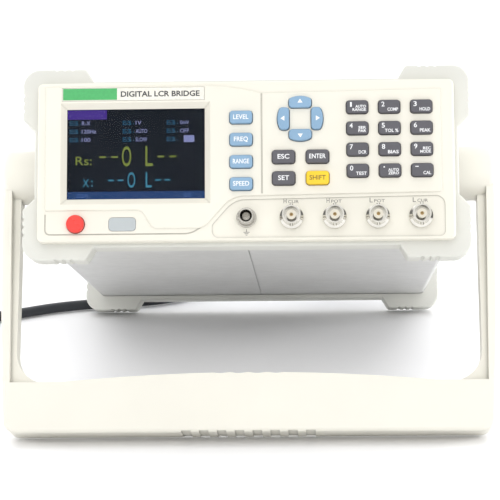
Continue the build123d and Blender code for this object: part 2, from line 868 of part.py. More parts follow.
# ---------------------------------------------------------------- handle pivots
with BuildPart() as pivot_bases:
    for sign in (-1, 1):
        with BuildSketch(sideways(sign * (sleeve_width / 2 + 0.05), hub_depth)):
            Circle(14.4)
            Circle(pivot_radius + 0.1, mode=Mode.SUBTRACT)
        extrude(amount=sign * 3.2)
keep(pivot_bases, "pivot_bases")

with BuildPart() as pivot_screws:
    for sign in (-1, 1):
        with BuildSketch(sideways(sign * screw_end_x, hub_depth)):
            Circle(pivot_radius)
        extrude(amount=sign * (head_seat_x + 0.4 - screw_end_x))
        with BuildSketch(sideways(sign * (head_seat_x + 0.4), hub_depth)):
            Circle(6.0)
        extrude(amount=sign * 2.4)
        with BuildSketch(sideways(sign * (head_seat_x + 2.8), hub_depth)):
            RegularPolygon(2.9, 6)
        extrude(amount=-sign * 1.6, mode=Mode.SUBTRACT)
        # washer and nut inside the case
        with BuildSketch(sideways(sign * 108.6, hub_depth)):
            RegularPolygon(5.8, 6)
        extrude(amount=-sign * 4.5)
keep(pivot_screws, "pivot_screws")

# ---------------------------------------------------------------- mains lead
connector_depth = panel_rear_depth + 4.0
engaged_length = 15.5
grip_depth = connector_depth + 24.5
collar_depth = grip_depth + 6.0
relief_end = collar_depth + 21.0
cord_start = spot(inlet_x, relief_end, inlet_height)

with BuildPart() as cord_connector:
    # shrouded end, inside the inlet
    with BuildSketch(facing(connector_depth, inlet_x, inlet_height)):
        RectangleRounded(23.8, 16.0, 2.2)
    extrude(amount=engaged_length)
    # finger grip
    with BuildSketch(facing(grip_depth, inlet_x, inlet_height)):
        RectangleRounded(27.0, 20.0, 4.0)
    extrude(amount=grip_depth - connector_depth)
    # shoulder and strain relief
    with BuildSketch(facing(grip_depth, inlet_x, inlet_height)):
        RectangleRounded(26.0, 19.0, 4.0)
    with BuildSketch(facing(collar_depth, inlet_x, inlet_height)):
        RectangleRounded(12.6, 12.4, 6.0)
    loft()
    with BuildSketch(facing(collar_depth, inlet_x, inlet_height)):
        Circle(5.8)
    with BuildSketch(facing(relief_end, inlet_x, inlet_height)):
        Circle(4.2)
    loft()
    # slots for the inlet's pins
    with BuildSketch(facing(connector_depth - engaged_length, inlet_x, inlet_height)):
        with Locations(inlet_pins):
            Rectangle(2.8, 4.8)
    extrude(amount=1.0 - engaged_length, mode=Mode.SUBTRACT)
keep(cord_connector, "cord_connector")

# The lead sinks to the table, turns left behind the case and runs forward to the coil.
route = [
    tuple(cord_start),
    (62, 214, 33.2),
    (46, 240, 24.0),
    (18, 253, 15.0),
    (-12, 247, 8.0),
    (-32, 222, cord_floor),
    (-42, 190, cord_floor),
    (-55, 160, cord_floor),
    (-80, 144.5, cord_floor),
    (-112, 140, cord_floor),
    (-142, 129.5, cord_floor),
    (-166, 112, cord_floor),
    (-190, 99, cord_floor),
    (-212, 84.5, 4.2),
]
corners = [Vector(*point) for point in route]
runs = [after - before for before, after in zip(corners, corners[1:])]
radii = []
for run_in, run_out in zip(runs, runs[1:]):
    turn = math.radians(run_in.get_angle(run_out))
    shorter = min(run_in.length, run_out.length)
    radii.append(0.45 * shorter / math.tan(turn / 2))
print("lead: corner radii", [round(radius, 1) for radius in radii])

with BuildPart() as mains_cord:
    with BuildLine() as middle_line:
        FilletPolyline(*route, radius=radii)
    with BuildSketch(Plane(origin=middle_line.line @ 0, z_dir=middle_line.line % 0)):
        Circle(cord_radius)
    sweep()
keep(mains_cord, "mains_cord")
lead_length = middle_line.wires()[0].length
lead_volume = math.pi * cord_radius**2 * lead_length
print(f"lead: length {lead_length:.1f}, volume ratio {mains_cord.part.volume / lead_volume:.4f}")

with BuildPart() as cord_coil:
    with BuildSketch(Plane(origin=(coil_x, coil_y, coil_bottom))):
        Circle(coil_outer)
        Circle(coil_inner, mode=Mode.SUBTRACT)
    extrude(amount=coil_top - coil_bottom)
    fillet(cord_coil.edges().filter_by(GeomType.CIRCLE), 3.0)
keep(cord_coil, "cord_coil")

# strap round the coil's turns, on the side away from the instrument
strap_x = coil_x - (coil_inner + coil_outer) / 2 + 0.2
strap_height = (coil_bottom + coil_top) / 2
strap_opening = (coil_outer - coil_inner + 1.8, coil_top - coil_bottom + 0.4)
with BuildPart() as cord_tie:
    with BuildSketch(Plane(origin=(strap_x, coil_y, strap_height), x_dir=(1, 0, 0), z_dir=(0, 1, 0))):
        RectangleRounded(strap_opening[0] + 1.6, strap_opening[1] + 1.6, 3.6)
        RectangleRounded(*strap_opening, 3.0, mode=Mode.SUBTRACT)
    extrude(amount=5.0, both=True)
keep(cord_tie, "cord_tie")

# three-pin plug, resting flat on the coil with its pins towards the front
plug_x = coil_x + 30.0
plug_start_y = coil_y - 3.0
plug_width = 28.0
plug_thick = 18.0
plug_corner = 5.0
plug_taper = 14.0
plug_length = 36.0
plug_height = coil_top + 0.2 + plug_thick / 2
relief_length = 20.0
pin_length = 18.0
pin_root = 0.5
pin_thick = 1.6
pin_broad = 6.3


def plug_section(along):
    """Upright plane across the plug, along mm beyond its cable side. Local axes: x, height."""
    return Plane(origin=(plug_x, plug_start_y - along, plug_height), x_dir=(-1, 0, 0), z_dir=(0, 1, 0))


with BuildPart() as mains_plug:
    with BuildSketch(plug_section(0)):
        RectangleRounded(plug_width - 6, plug_thick - 2, plug_corner)
    with BuildSketch(plug_section(plug_taper)):
        RectangleRounded(plug_width, plug_thick, plug_corner)
    loft()
    with BuildSketch(plug_section(plug_length)):
        RectangleRounded(plug_width, plug_thick, plug_corner)
    extrude(amount=plug_length - plug_taper)
    # sleeve that stiffens the cable behind the plug
    with BuildSketch(plug_section(0)):
        Circle(5.6)
    with BuildSketch(plug_section(-relief_length)):
        Circle(4.2)
    loft()
    # two slanted flat pins and the straight earth pin
    with BuildSketch(plug_section(plug_length + pin_length)):
        with Locations(Location((-6.9, 2.0), 30), Location((6.9, 2.0), -30)):
            Rectangle(pin_thick, pin_broad)
        with Locations((0, -4.4)):
            Rectangle(pin_thick, pin_broad)
    extrude(amount=pin_length + pin_root)
keep(mains_plug, "mains_plug")
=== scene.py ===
import json
import math
import bmesh
import bpy
from mathutils import Euler, Matrix, Vector


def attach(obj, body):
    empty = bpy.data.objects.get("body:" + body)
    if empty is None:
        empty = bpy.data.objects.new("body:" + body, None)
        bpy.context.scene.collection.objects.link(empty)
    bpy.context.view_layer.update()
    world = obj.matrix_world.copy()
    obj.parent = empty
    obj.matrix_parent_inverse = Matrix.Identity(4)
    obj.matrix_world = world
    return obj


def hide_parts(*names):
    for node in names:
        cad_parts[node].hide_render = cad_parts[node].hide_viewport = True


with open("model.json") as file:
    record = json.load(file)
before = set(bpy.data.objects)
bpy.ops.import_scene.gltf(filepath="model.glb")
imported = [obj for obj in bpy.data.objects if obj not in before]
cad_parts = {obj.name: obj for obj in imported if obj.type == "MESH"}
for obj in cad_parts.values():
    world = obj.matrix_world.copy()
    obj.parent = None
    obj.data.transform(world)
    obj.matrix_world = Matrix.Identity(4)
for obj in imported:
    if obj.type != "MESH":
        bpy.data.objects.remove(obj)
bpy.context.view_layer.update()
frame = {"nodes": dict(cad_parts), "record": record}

# Bench LCR meter standing tilted back on its swivelling handle, with its mains lead.
# Case coordinates are in millimetres: x to the right, depth away from the user, height up,
# all turned with the tilted case. World coordinates are in metres.

nodes = frame["nodes"]

TILT = math.radians(19.5)
CASE_ZERO = Vector((0, -134.0, 147.877))
ACROSS = Vector((1, 0, 0))
INWARD = Vector((0, math.cos(TILT), -math.sin(TILT)))
UPWARD = Vector((0, math.sin(TILT), math.cos(TILT)))
OUTWARD = -INWARD
MM = 0.001

# depths of the faces that the front panel's printing lies on
ZONE_DEPTH = -6.4               # lowered zone round the jacks
KEY_DEPTH = -9.7                # key tops
STRIP_DEPTH = -7.6              # label strip
LCD_DEPTH = -2.7                # screen, behind its window

GROUND_X = 0.4                  # ground terminal
JACK_X = 24.2                   # first of the four jacks, in a row with the terminal
JACK_STEP = 22.65
JACK_HEIGHT = -30.6


def spot(x, depth, height):
    """A point of the case, in metres."""
    return (CASE_ZERO + ACROSS * x + INWARD * depth + UPWARD * height) * MM


def facing(x, depth, height, turn=0.0):
    """Frame in millimetres whose local z looks out of the front panel and local y is up it."""
    axes = Matrix((ACROSS, UPWARD, OUTWARD)).transposed().to_4x4()
    place = Matrix.Translation(spot(x, depth, height)) @ axes
    return place @ Matrix.Rotation(math.radians(turn), 4, "Z") @ Matrix.Scale(MM, 4)


# ---------------------------------------------------------------- camera
def add_camera():
    data = bpy.data.cameras.new("camera")
    data.lens = 135.3
    data.sensor_width = 36.0
    data.clip_start = 0.05
    data.clip_end = 50.0
    camera = bpy.data.objects.new("camera", data)
    bpy.context.collection.objects.link(camera)
    turn = Euler([math.radians(angle) for angle in (77.6898, 0.9544, 1.8252)])
    camera.matrix_world = Matrix.Translation((0.03644, -1.12044, 0.3156)) @ turn.to_matrix().to_4x4()
    bpy.context.scene.camera = camera


add_camera()


# ---------------------------------------------------------------- materials
class Shader:
    """A Principled material whose nodes are added one by one."""

    def __init__(self, name, metallic=0.0, roughness=0.5, ior=1.5):
        self.material = bpy.data.materials.new(name)
        self.material.use_nodes = True
        self.tree = self.material.node_tree
        self.shader = self.tree.nodes["Principled BSDF"]
        self.set("Metallic", metallic)
        self.set("Roughness", roughness)
        self.set("IOR", ior)
        self.place = self.node("ShaderNodeTexCoord").outputs["Object"]

    def node(self, kind):
        return self.tree.nodes.new(kind)

    def set(self, socket, value):
        self.shader.inputs[socket].default_value = value

    def link(self, output, target):
        self.tree.links.new(output, target)

    def stretched(self, scale):
        """Object coordinates stretched by three factors."""
        mapping = self.node("ShaderNodeMapping")
        mapping.inputs["Scale"].default_value = scale
        self.link(self.place, mapping.inputs["Vector"])
        return mapping.outputs["Vector"]

    def noise(self, scale, detail=2.0, vector=None):
        noise = self.node("ShaderNodeTexNoise")
        noise.inputs["Scale"].default_value = scale
        noise.inputs["Detail"].default_value = detail
        self.link(vector or self.place, noise.inputs["Vector"])
        return noise.outputs["Fac"]

    def cells(self, scale):
        cells = self.node("ShaderNodeTexVoronoi")
        cells.inputs["Scale"].default_value = scale
        self.link(self.place, cells.inputs["Vector"])
        return cells.outputs["Distance"]

    def colours(self, factor, first, second, low=0.35, high=0.65):
        """Colour running from first, at a factor of low, to second, at high."""
        ramp = self.node("ShaderNodeValToRGB")
        ramp.color_ramp.elements[0].position = low
        ramp.color_ramp.elements[0].color = (*first, 1)
        ramp.color_ramp.elements[1].position = high
        ramp.color_ramp.elements[1].color = (*second, 1)
        self.link(factor, ramp.inputs["Fac"])
        return ramp.outputs["Color"]

    def painted_corner_shade(self, colour, width):
        """The colour, darkened with painted shade where the part's own surfaces meet at an inner corner."""
        corner_occlusion = self.node("ShaderNodeAmbientOcclusion")
        corner_occlusion.samples = 12
        corner_occlusion.only_local = True
        corner_occlusion.inputs["Distance"].default_value = width
        dim = self.node("ShaderNodeMapRange")
        dim.inputs["From Min"].default_value = 0.55
        dim.inputs["From Max"].default_value = 0.95
        dim.inputs["To Min"].default_value = 0.66
        dim.inputs["To Max"].default_value = 1.0
        self.link(corner_occlusion.outputs["AO"], dim.inputs["Value"])
        scale = self.node("ShaderNodeVectorMath")
        scale.operation = "SCALE"
        self.link(colour, scale.inputs[0])
        self.link(dim.outputs["Result"], scale.inputs["Scale"])
        return scale.outputs["Vector"]

    def spread(self, factor, low, high):
        """Rough range of a noise, mapped to low..high."""
        mapped = self.node("ShaderNodeMapRange")
        mapped.inputs["From Min"].default_value = 0.3
        mapped.inputs["From Max"].default_value = 0.7
        mapped.inputs["To Min"].default_value = low
        mapped.inputs["To Max"].default_value = high
        self.link(factor, mapped.inputs["Value"])
        return mapped.outputs["Result"]

    def bump(self, height, strength, distance, under=None):
        bump = self.node("ShaderNodeBump")
        bump.inputs["Strength"].default_value = strength
        bump.inputs["Distance"].default_value = distance
        self.link(height, bump.inputs["Height"])
        if under is not None:
            self.link(under, bump.inputs["Normal"])
        return bump.outputs["Normal"]


def dimmed(colour, share):
    return tuple(channel * share for channel in colour)


def moulded(
    name, colour, roughness=(0.42, 0.55), grain=0.00025, depth=0.00002, tint=0.965, ior=1.47, corner=0.0
):
    """Moulded plastic: fine spark-eroded grain, faint flow mottling.

    Inner corners get painted shade, darker over a width of corner metres.
    """
    s = Shader(name, ior=ior)
    base = s.colours(s.noise(14.0, 3.0), dimmed(colour, tint), colour)
    if corner:
        # painted shade: base colour dimmed by an ambient-occlusion node in inner corners
        base = s.painted_corner_shade(base, corner)
    s.link(base, s.shader.inputs["Base Color"])
    s.link(s.spread(s.noise(90.0, 3.0), *roughness), s.shader.inputs["Roughness"])
    fine = s.bump(s.noise(1.0 / grain, 2.0), 0.35, depth)
    broad = s.bump(s.noise(45.0, 2.0), 0.08, 0.0002, fine)
    s.link(broad, s.shader.inputs["Normal"])
    return s.material


def rubbery(name, colour, roughness=(0.5, 0.66), tint=0.93):
    """Silicone or soft PVC: satin, finely matt, a little lighter where it has been touched."""
    s = Shader(name, ior=1.43)
    s.link(
        s.colours(s.noise(60.0, 3.0), dimmed(colour, tint), colour),
        s.shader.inputs["Base Color"],
    )
    s.link(s.spread(s.noise(220.0, 3.0), *roughness), s.shader.inputs["Roughness"])
    s.link(s.bump(s.noise(3200.0, 2.0), 0.25, 0.00002), s.shader.inputs["Normal"])
    return s.material


def powder_coated(name, colour):
    """Baked powder paint on sheet steel: fine orange-peel, low gloss."""
    s = Shader(name, ior=1.5)
    s.link(
        s.colours(s.noise(22.0, 4.0), dimmed(colour, 0.97), colour),
        s.shader.inputs["Base Color"],
    )
    s.link(s.spread(s.noise(120.0, 3.0), 0.34, 0.46), s.shader.inputs["Roughness"])
    peel = s.bump(s.noise(900.0, 2.0), 0.35, 0.00006)
    s.link(s.bump(s.cells(2600.0), 0.2, 0.00002, peel), s.shader.inputs["Normal"])
    return s.material


def plated(name, colour, roughness=(0.12, 0.24), stretch=(1, 1, 1)):
    """Bright plating with faint turning marks and dull patches."""
    s = Shader(name, metallic=1.0)
    s.link(
        s.colours(s.noise(160.0, 3.0), dimmed(colour, 0.88), colour),
        s.shader.inputs["Base Color"],
    )
    along = s.stretched(stretch)
    s.link(s.spread(s.noise(420.0, 4.0, along), *roughness), s.shader.inputs["Roughness"])
    s.link(s.bump(s.noise(1500.0, 3.0, along), 0.12, 0.00003), s.shader.inputs["Normal"])
    return s.material


def printed_ink(name, colour, roughness=0.42):
    """Screen-printed ink: nearly flat, slightly patchy."""
    s = Shader(name, roughness=roughness)
    s.link(
        s.colours(s.noise(700.0, 3.0), dimmed(colour, 0.9), colour),
        s.shader.inputs["Base Color"],
    )
    s.link(s.bump(s.noise(2500.0, 2.0), 0.1, 0.00001), s.shader.inputs["Normal"])
    return s.material


def glowing(name, colour):
    """Lit picture elements of the screen, with a faint element grid."""
    s = Shader(name, roughness=0.35, ior=1.1)
    grid = s.noise(5500.0, 1.0)
    s.link(
        s.colours(grid, dimmed(colour, 0.82), colour, 0.3, 0.7),
        s.shader.inputs["Emission Color"],
    )
    s.set("Emission Strength", 1.0)
    s.link(
        s.colours(s.noise(900.0, 2.0), dimmed(colour, 0.1), dimmed(colour, 0.16)),
        s.shader.inputs["Base Color"],
    )
    return s.material


CREAM = (0.74, 0.715, 0.63)
EAR = (0.63, 0.63, 0.585)
SLEEVE = (0.57, 0.57, 0.56)

looks = {
    # the panel and handle plastics carry painted shade in their inner corners (corner=...)
    "panel_plastic": moulded("panel_plastic", CREAM, (0.40, 0.52), 0.0004, corner=0.0018),
    "handle_plastic": moulded("handle_plastic", (0.735, 0.715, 0.64), (0.34, 0.47), 0.0003, corner=0.002),
    "bumper_rubber": moulded("bumper_rubber", EAR, (0.5, 0.62), 0.0003, 0.00003, 0.95),
    "sleeve_paint": powder_coated("sleeve_paint", SLEEVE),
    "rear_paint": powder_coated("rear_paint", (0.52, 0.54, 0.57)),
    "tray_steel": plated("tray_steel", (0.62, 0.63, 0.64), (0.3, 0.45), (1, 0.05, 1)),
    "strip_film": printed_ink("strip_film", (0.76, 0.745, 0.67), 0.3),
    "cover_plastic": moulded("cover_plastic", (0.43, 0.465, 0.475), (0.35, 0.45)),
    "key_blue": rubbery("key_blue", (0.228, 0.368, 0.52)),
    "key_grey": rubbery("key_grey", (0.099, 0.097, 0.11)),
    "key_yellow": rubbery("key_yellow", (0.84, 0.56, 0.03)),
    "button_red": moulded("button_red", (0.80, 0.045, 0.035), (0.25, 0.35)),
    "membrane_rubber": rubbery("membrane_rubber", (0.55, 0.56, 0.55)),
    "switch_black": moulded("switch_black", (0.03, 0.03, 0.03)),
    "terminal_nickel": plated("terminal_nickel", (0.55, 0.53, 0.48), (0.16, 0.28)),
    "jack_nickel": plated("jack_nickel", (0.74, 0.72, 0.66), (0.1, 0.2)),
    "insulator_cream": moulded("insulator_cream", (0.66, 0.62, 0.52), (0.3, 0.4)),
    "contact_gold": plated("contact_gold", (0.55, 0.42, 0.24)),
    "screw_zinc": plated("screw_zinc", (0.62, 0.62, 0.62), (0.2, 0.35)),
    "pivot_plastic": moulded("pivot_plastic", (0.07, 0.07, 0.075)),
    "inlet_black": moulded("inlet_black", (0.03, 0.03, 0.032), (0.35, 0.5)),
    "port_metal": plated("port_metal", (0.64, 0.64, 0.64), (0.2, 0.35)),
    "standoff_brass": plated("standoff_brass", (0.72, 0.55, 0.25)),
    "cord_black": rubbery("cord_black", (0.022, 0.025, 0.03), (0.36, 0.5), 0.8),
    "plug_black": rubbery("plug_black", (0.024, 0.026, 0.03), (0.4, 0.55), 0.8),
}


def board_look():
    """Circuit board: green resist over copper tracks."""
    s = Shader("board_green", roughness=0.35)
    tracks = s.node("ShaderNodeTexBrick")
    tracks.inputs["Scale"].default_value = 160.0
    tracks.inputs["Color1"].default_value = (0.02, 0.16, 0.06, 1)
    tracks.inputs["Color2"].default_value = (0.025, 0.2, 0.08, 1)
    tracks.inputs["Mortar"].default_value = (0.05, 0.28, 0.1, 1)
    s.link(s.place, tracks.inputs["Vector"])
    s.link(tracks.outputs["Color"], s.shader.inputs["Base Color"])
    s.link(s.bump(tracks.outputs["Fac"], 0.2, 0.00003), s.shader.inputs["Normal"])
    return s.material


def core_look():
    """Transformer: stacked laminations."""
    s = Shader("transformer_core", metallic=0.6)
    sheets = s.noise(900.0, 2.0, s.stretched((0.02, 1, 0.02)))
    s.link(s.colours(sheets, (0.1, 0.1, 0.11), (0.28, 0.28, 0.29)), s.shader.inputs["Base Color"])
    s.link(s.spread(sheets, 0.35, 0.6), s.shader.inputs["Roughness"])
    s.link(s.bump(sheets, 0.3, 0.0001), s.shader.inputs["Normal"])
    return s.material


def screen_look():
    """Dark lit panel of the screen, faintly uneven."""
    s = Shader("lcd_face", roughness=0.3, ior=1.1)
    s.link(
        s.colours(s.noise(18.0, 2.0), (0.002, 0.004, 0.007), (0.003, 0.005, 0.009)),
        s.shader.inputs["Emission Color"],
    )
    s.set("Emission Strength", 0.8)
    s.link(
        s.colours(s.noise(2500.0, 1.0), (0.003, 0.0035, 0.006), (0.004, 0.005, 0.008)),
        s.shader.inputs["Base Color"],
    )
    return s.material


def window_look():
    """Clear acrylic with a fine anti-glare surface."""
    s = Shader("window_clear", ior=1.1)
    s.set("Transmission Weight", 1.0)
    s.link(
        s.colours(s.noise(35.0, 2.0), (0.93, 0.95, 0.96), (0.97, 0.98, 0.99)),
        s.shader.inputs["Base Color"],
    )
    s.link(s.spread(s.noise(60.0, 2.0), 0.0, 0.012), s.shader.inputs["Roughness"])
    return s.material


def woven_look():
    """Woven strap: crossed threads."""
    s = Shader("strap_black", roughness=0.85, ior=1.4)
    warp = s.node("ShaderNodeTexWave")
    warp.inputs["Scale"].default_value = 900.0
    warp.inputs["Distortion"].default_value = 1.5
    s.link(s.place, warp.inputs["Vector"])
    s.link(
        s.colours(warp.outputs["Fac"], (0.012, 0.012, 0.013), (0.05, 0.05, 0.052), 0.2, 0.8),
        s.shader.inputs["Base Color"],
    )
    s.link(s.bump(warp.outputs["Fac"], 0.6, 0.0002), s.shader.inputs["Normal"])
    return s.material


looks["board_green"] = board_look()
looks["transformer_core"] = core_look()
looks["lcd_face"] = screen_look()
looks["window_clear"] = window_look()
looks["strap_black"] = woven_look()

for part in frame["record"]["subparts"]:
    mesh = nodes[part["node"]].data
    mesh.materials.clear()
    mesh.materials.append(looks[part["material_slot"]])


# ---------------------------------------------------------------- pieces from code
PLATE_SUNK = 0.03               # how far plates and letters reach into their surface
LETTER_SUNK = 0.01
LETTER_THICK = 0.05
CAPITAL_SHARE = 0.66            # height of a capital as a share of the font's size


def piece_from(bm, name, material, body):
    """Turn a bmesh into a flat-shaded piece that rides on a body."""
    mesh = bpy.data.meshes.new(name)
    bmesh.ops.recalc_face_normals(bm, faces=bm.faces)
    bm.to_mesh(mesh)
    bm.free()
    for face in mesh.polygons:
        face.use_smooth = False
    mesh.materials.append(material)
    piece = bpy.data.objects.new(name, mesh)
    bpy.context.collection.objects.link(piece)
    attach(piece, body)


def add_plate(bm, outline, place, thick):
    """Thin solid plate from a flat outline given in the place's millimetres, set a little into it."""
    low = [bm.verts.new(place @ Vector((x, y, -PLATE_SUNK))) for x, y in outline]
    high = [bm.verts.new(place @ Vector((x, y, thick))) for x, y in outline]
    bm.faces.new(high)
    bm.faces.new(low[::-1])
    for index in range(len(outline)):
        after = (index + 1) % len(outline)
        bm.faces.new((low[index], low[after], high[after], high[index]))


def rectangle(x, y, width, tall):
    """Corners of a rectangle given by its middle."""
    left, right = x - width / 2, x + width / 2
    low, high = y - tall / 2, y + tall / 2
    return [(left, low), (right, low), (right, high), (left, high)]


def add_words(bm, text, x, y, tall, wide, place, anchor=0.5, weight=0.0):
    """Raised lettering of a given capital height and total width, in millimetres.

    anchor is the share of the width that lies left of x, y is the middle of the height, and
    weight is how far each stroke's edges are moved outwards.
    """
    curve = bpy.data.curves.new("lettering", "FONT")
    curve.body = text
    curve.size = tall / CAPITAL_SHARE
    curve.extrude = LETTER_THICK / 2
    curve.offset = weight
    curve.resolution_u = 3
    letters = bpy.data.objects.new("lettering", curve)
    bpy.context.collection.objects.link(letters)
    bpy.context.view_layer.update()
    shape = bpy.data.meshes.new_from_object(letters)
    left = min(vertex.co.x for vertex in shape.vertices)
    right = max(vertex.co.x for vertex in shape.vertices)
    stretch = wide / (right - left)
    shape.transform(Matrix.Diagonal((stretch, 1, 1, 1)) @ Matrix.Translation((-left, 0, 0)))
    move = Matrix.Translation((x - anchor * wide, y - tall / 2, LETTER_THICK / 2 - LETTER_SUNK))
    shape.transform(place @ move)
    bm.from_mesh(shape)
    bpy.data.objects.remove(letters)
    bpy.data.curves.remove(curve)
    bpy.data.meshes.remove(shape)


# ---------------------------------------------------------------- mains lead
COIL = Vector((-238.0, 118.0, 0.0))
LOW, HIGH = 4.7, 11.7           # heights of the coil's two layers
WIDE, NARROW = 42.2, 35.2       # middle radii of its outer and inner turns

lead_points = [
    (62.0, 191.996, 40.923),
    (62.0, 214.0, 33.2),
    (46.0, 240.0, 24.0),
    (18.0, 253.0, 15.0),
    (-12.0, 247.0, 8.0),
    (-32.0, 222.0, 3.6),
    (-42.0, 190.0, 3.6),
    (-55.0, 160.0, 3.6),
    (-80.0, 144.5, 3.6),
    (-112.0, 140.0, 3.6),
    (-142.0, 129.5, 3.6),
    (-166.0, 112.0, 3.6),
    (-190.0, 99.0, 3.6),
]

# The turns run clockwise seen from above; angles are in degrees, 0 to the right of the coil.
# Three passes over the right-hand side each move to the next place in the coil there.
COIL_START = -56
COIL_SWEEP = 1238
COIL_STEP = 18


def eased(angle, begin, end):
    """0 before begin, 1 after end, smooth between; angles fall as the cord runs on."""
    share = min(max((begin - angle) / (begin - end), 0.0), 1.0)
    return share * share * (3 - 2 * share)


for angle in range(COIL_START, COIL_START - COIL_SWEEP, -COIL_STEP):
    radius = WIDE + (NARROW - WIDE) * eased(angle, -318, -408)
    radius += (WIDE - NARROW) * eased(angle, -925, -1000)
    height = LOW + (HIGH - LOW) * eased(angle, -645, -705)
    turn = math.radians(angle)
    lead_points.append((COIL.x + radius * math.cos(turn), COIL.y + radius * math.sin(turn), height))
# the tail lies over the coil's top and runs to the plug
lead_points += [
    (-272.8, 142.6, 12.4),
    (-265.6, 151.4, 14.4),
    (-256.2, 158.2, 16.9),
    (-245.4, 162.8, 19.3),
    (-233.6, 163.6, 21.2),
    (-222.6, 159.6, 22.8),
    (-213.8, 151.8, 24.0),
    (-209.0, 142.6, 24.6),
    (-208.0, 135.0, 24.7),
]


def add_lead():
    """The whole lead, from its connector to its plug, as one smooth round curve."""
    curve = bpy.data.curves.new("mains_lead", "CURVE")
    curve.dimensions = "3D"
    spline = curve.splines.new("NURBS")
    spline.points.add(len(lead_points) - 1)
    for point, place in zip(spline.points, lead_points):
        point.co = (*(Vector(place) * MM), 1.0)
    spline.order_u = 3
    spline.use_endpoint_u = True
    spline.resolution_u = 8
    curve.bevel_depth = 0.0035
    curve.bevel_resolution = 5
    curve.use_fill_caps = True
    curve.materials.append(looks["cord_black"])
    lead = bpy.data.objects.new("mains_lead", curve)
    bpy.context.collection.objects.link(lead)
    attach(lead, "case")
    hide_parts("mains_cord", "cord_coil")
    return lead


lead = add_lead()


# ---------------------------------------------------------------- key legends
# x and height of the middles of the keys that carry a whole word
KEY_PLACES = {
    "key_level": (-2.2, 22.9),
    "key_freq": (-2.2, 11.0),
    "key_range": (-2.2, -0.9),
    "key_speed": (-2.2, -12.8),
    "key_esc": (20.2, 1.4),
    "key_enter": (38.1, 1.4),
    "key_set": (20.2, -10.0),
    "key_shift": (38.1, -10.0),
}
# figure and smaller words on each number key, row by row
NUMBER_KEYS = [
    ("key_1", "1", ["AUTO", "RANGE"]),
    ("key_2", "2", ["COMP"]),
    ("key_3", "3", ["HOLD"]),
    ("key_4", "4", ["SER", "PAR"]),
    ("key_5", "5", ["TOL %"]),
    ("key_6", "6", ["PEAK"]),
    ("key_7", "7", ["DCR"]),
    ("key_8", "8", ["BIAS"]),
    ("key_9", "9", ["REC", "MODE"]),
    ("key_0", "0", ["TEST"]),
    ("key_dot", ".", ["AUTO", "ZERO"]),
    ("key_minus", "-", ["CAL"]),
]
NUMBER_COLUMNS = 3
NUMBER_X, NUMBER_HEIGHT = 59.3, 27.7            # first number key
NUMBER_STEP_X, NUMBER_STEP_HEIGHT = 16.9, 11.36
ARROWS_X, ARROWS_HEIGHT = 29.15, 21.85          # middle of the ring of arrow keys
ARROW_TURNS = {"key_right": 0, "key_up": 90, "key_left": 180, "key_down": 270}

white_ink = printed_ink("white_ink", (0.84, 0.85, 0.86))
dark_ink = printed_ink("dark_ink", (0.05, 0.05, 0.055))
grey_ink = printed_ink("grey_ink", (0.24, 0.23, 0.21))
brown_ink = printed_ink("brown_ink", (0.16, 0.11, 0.02))
green_ink = printed_ink("green_ink", (0.065, 0.40, 0.125), 0.3)

LONG_WORD = 8.6
WORD_WIDTHS = {"LEVEL": 8.0, "FREQ": 7.4, "ESC": 6.2, "SET": 5.8}
for name, (x, height) in KEY_PLACES.items():
    word = name.removeprefix("key_").upper()
    ink = brown_ink if name == "key_shift" else white_ink
    wide = WORD_WIDTHS.get(word, LONG_WORD)
    bm = bmesh.new()
    add_words(bm, word, 0, 0, 2.3, wide, facing(x, KEY_DEPTH, height), weight=0.045)
    piece_from(bm, name + "_legend", ink, name)

for index, (name, figure, lines) in enumerate(NUMBER_KEYS):
    row, column = divmod(index, NUMBER_COLUMNS)
    x = NUMBER_X + NUMBER_STEP_X * column
    height = NUMBER_HEIGHT - NUMBER_STEP_HEIGHT * row
    place = facing(x, KEY_DEPTH, height)
    bm = bmesh.new()
    if figure == ".":
        add_plate(bm, rectangle(-3.1, 1.6, 0.7, 0.7), place, 0.05)
    elif figure == "-":
        add_plate(bm, rectangle(-2.8, 1.7, 1.7, 0.45), place, 0.05)
    else:
        add_words(bm, figure, -3.3, 1.1, 2.4, 0.9 if figure == "1" else 1.7, place, weight=0.035)
    tall = 1.35 if len(lines) > 1 else 1.6
    for line, word in enumerate(reversed(lines)):
        wide = 1.5 * len(word) - 0.4
        add_words(bm, word, 4.6, -1.7 + 1.75 * line, tall, wide, place, 1.0, 0.045)
    piece_from(bm, name + "_legend", white_ink, name)

for name, turn in ARROW_TURNS.items():
    place = facing(ARROWS_X, KEY_DEPTH, ARROWS_HEIGHT, turn)
    bm = bmesh.new()
    add_plate(bm, [(8.3, -1.35), (10.4, 0.0), (8.3, 1.35)], place, 0.05)
    piece_from(bm, name + "_legend", white_ink, name)


# ---------------------------------------------------------------- panel printing
def ground_mark(bm, place):
    """Earth symbol: a stem and three bars."""
    add_plate(bm, rectangle(0, 1.1, 0.35, 1.6), place, 0.04)
    for bar, width in enumerate((3.2, 2.1, 1.0)):
        add_plate(bm, rectangle(0, 0.3 - 0.75 * bar, width, 0.35), place, 0.04)


bm = bmesh.new()
for index, word in enumerate(("HCUR", "HPOT", "LPOT", "LCUR")):
    place = facing(JACK_X + JACK_STEP * index, ZONE_DEPTH, JACK_HEIGHT + 8.7)
    add_words(bm, word[0], -3.4, 0, 2.3, 1.6, place, weight=0.03)
    add_words(bm, word[1:], -1.8, -0.35, 1.5, 5.6, place, 0.0, 0.02)
ground_mark(bm, facing(GROUND_X, ZONE_DEPTH, JACK_HEIGHT - 8.0))
piece_from(bm, "panel_words", grey_ink, "case")

bm = bmesh.new()
place = facing(-59.5, STRIP_DEPTH, 36.3)
add_plate(bm, rectangle(-23.0, 0.1, 28.8, 6.2), place, 0.04)
piece_from(bm, "strip_patch", green_ink, "case")
bm = bmesh.new()
add_words(bm, "DIGITAL LCR BRIDGE", 14.4, 0, 2.7, 42.0, place, weight=0.11)
piece_from(bm, "strip_words", dark_ink, "case")


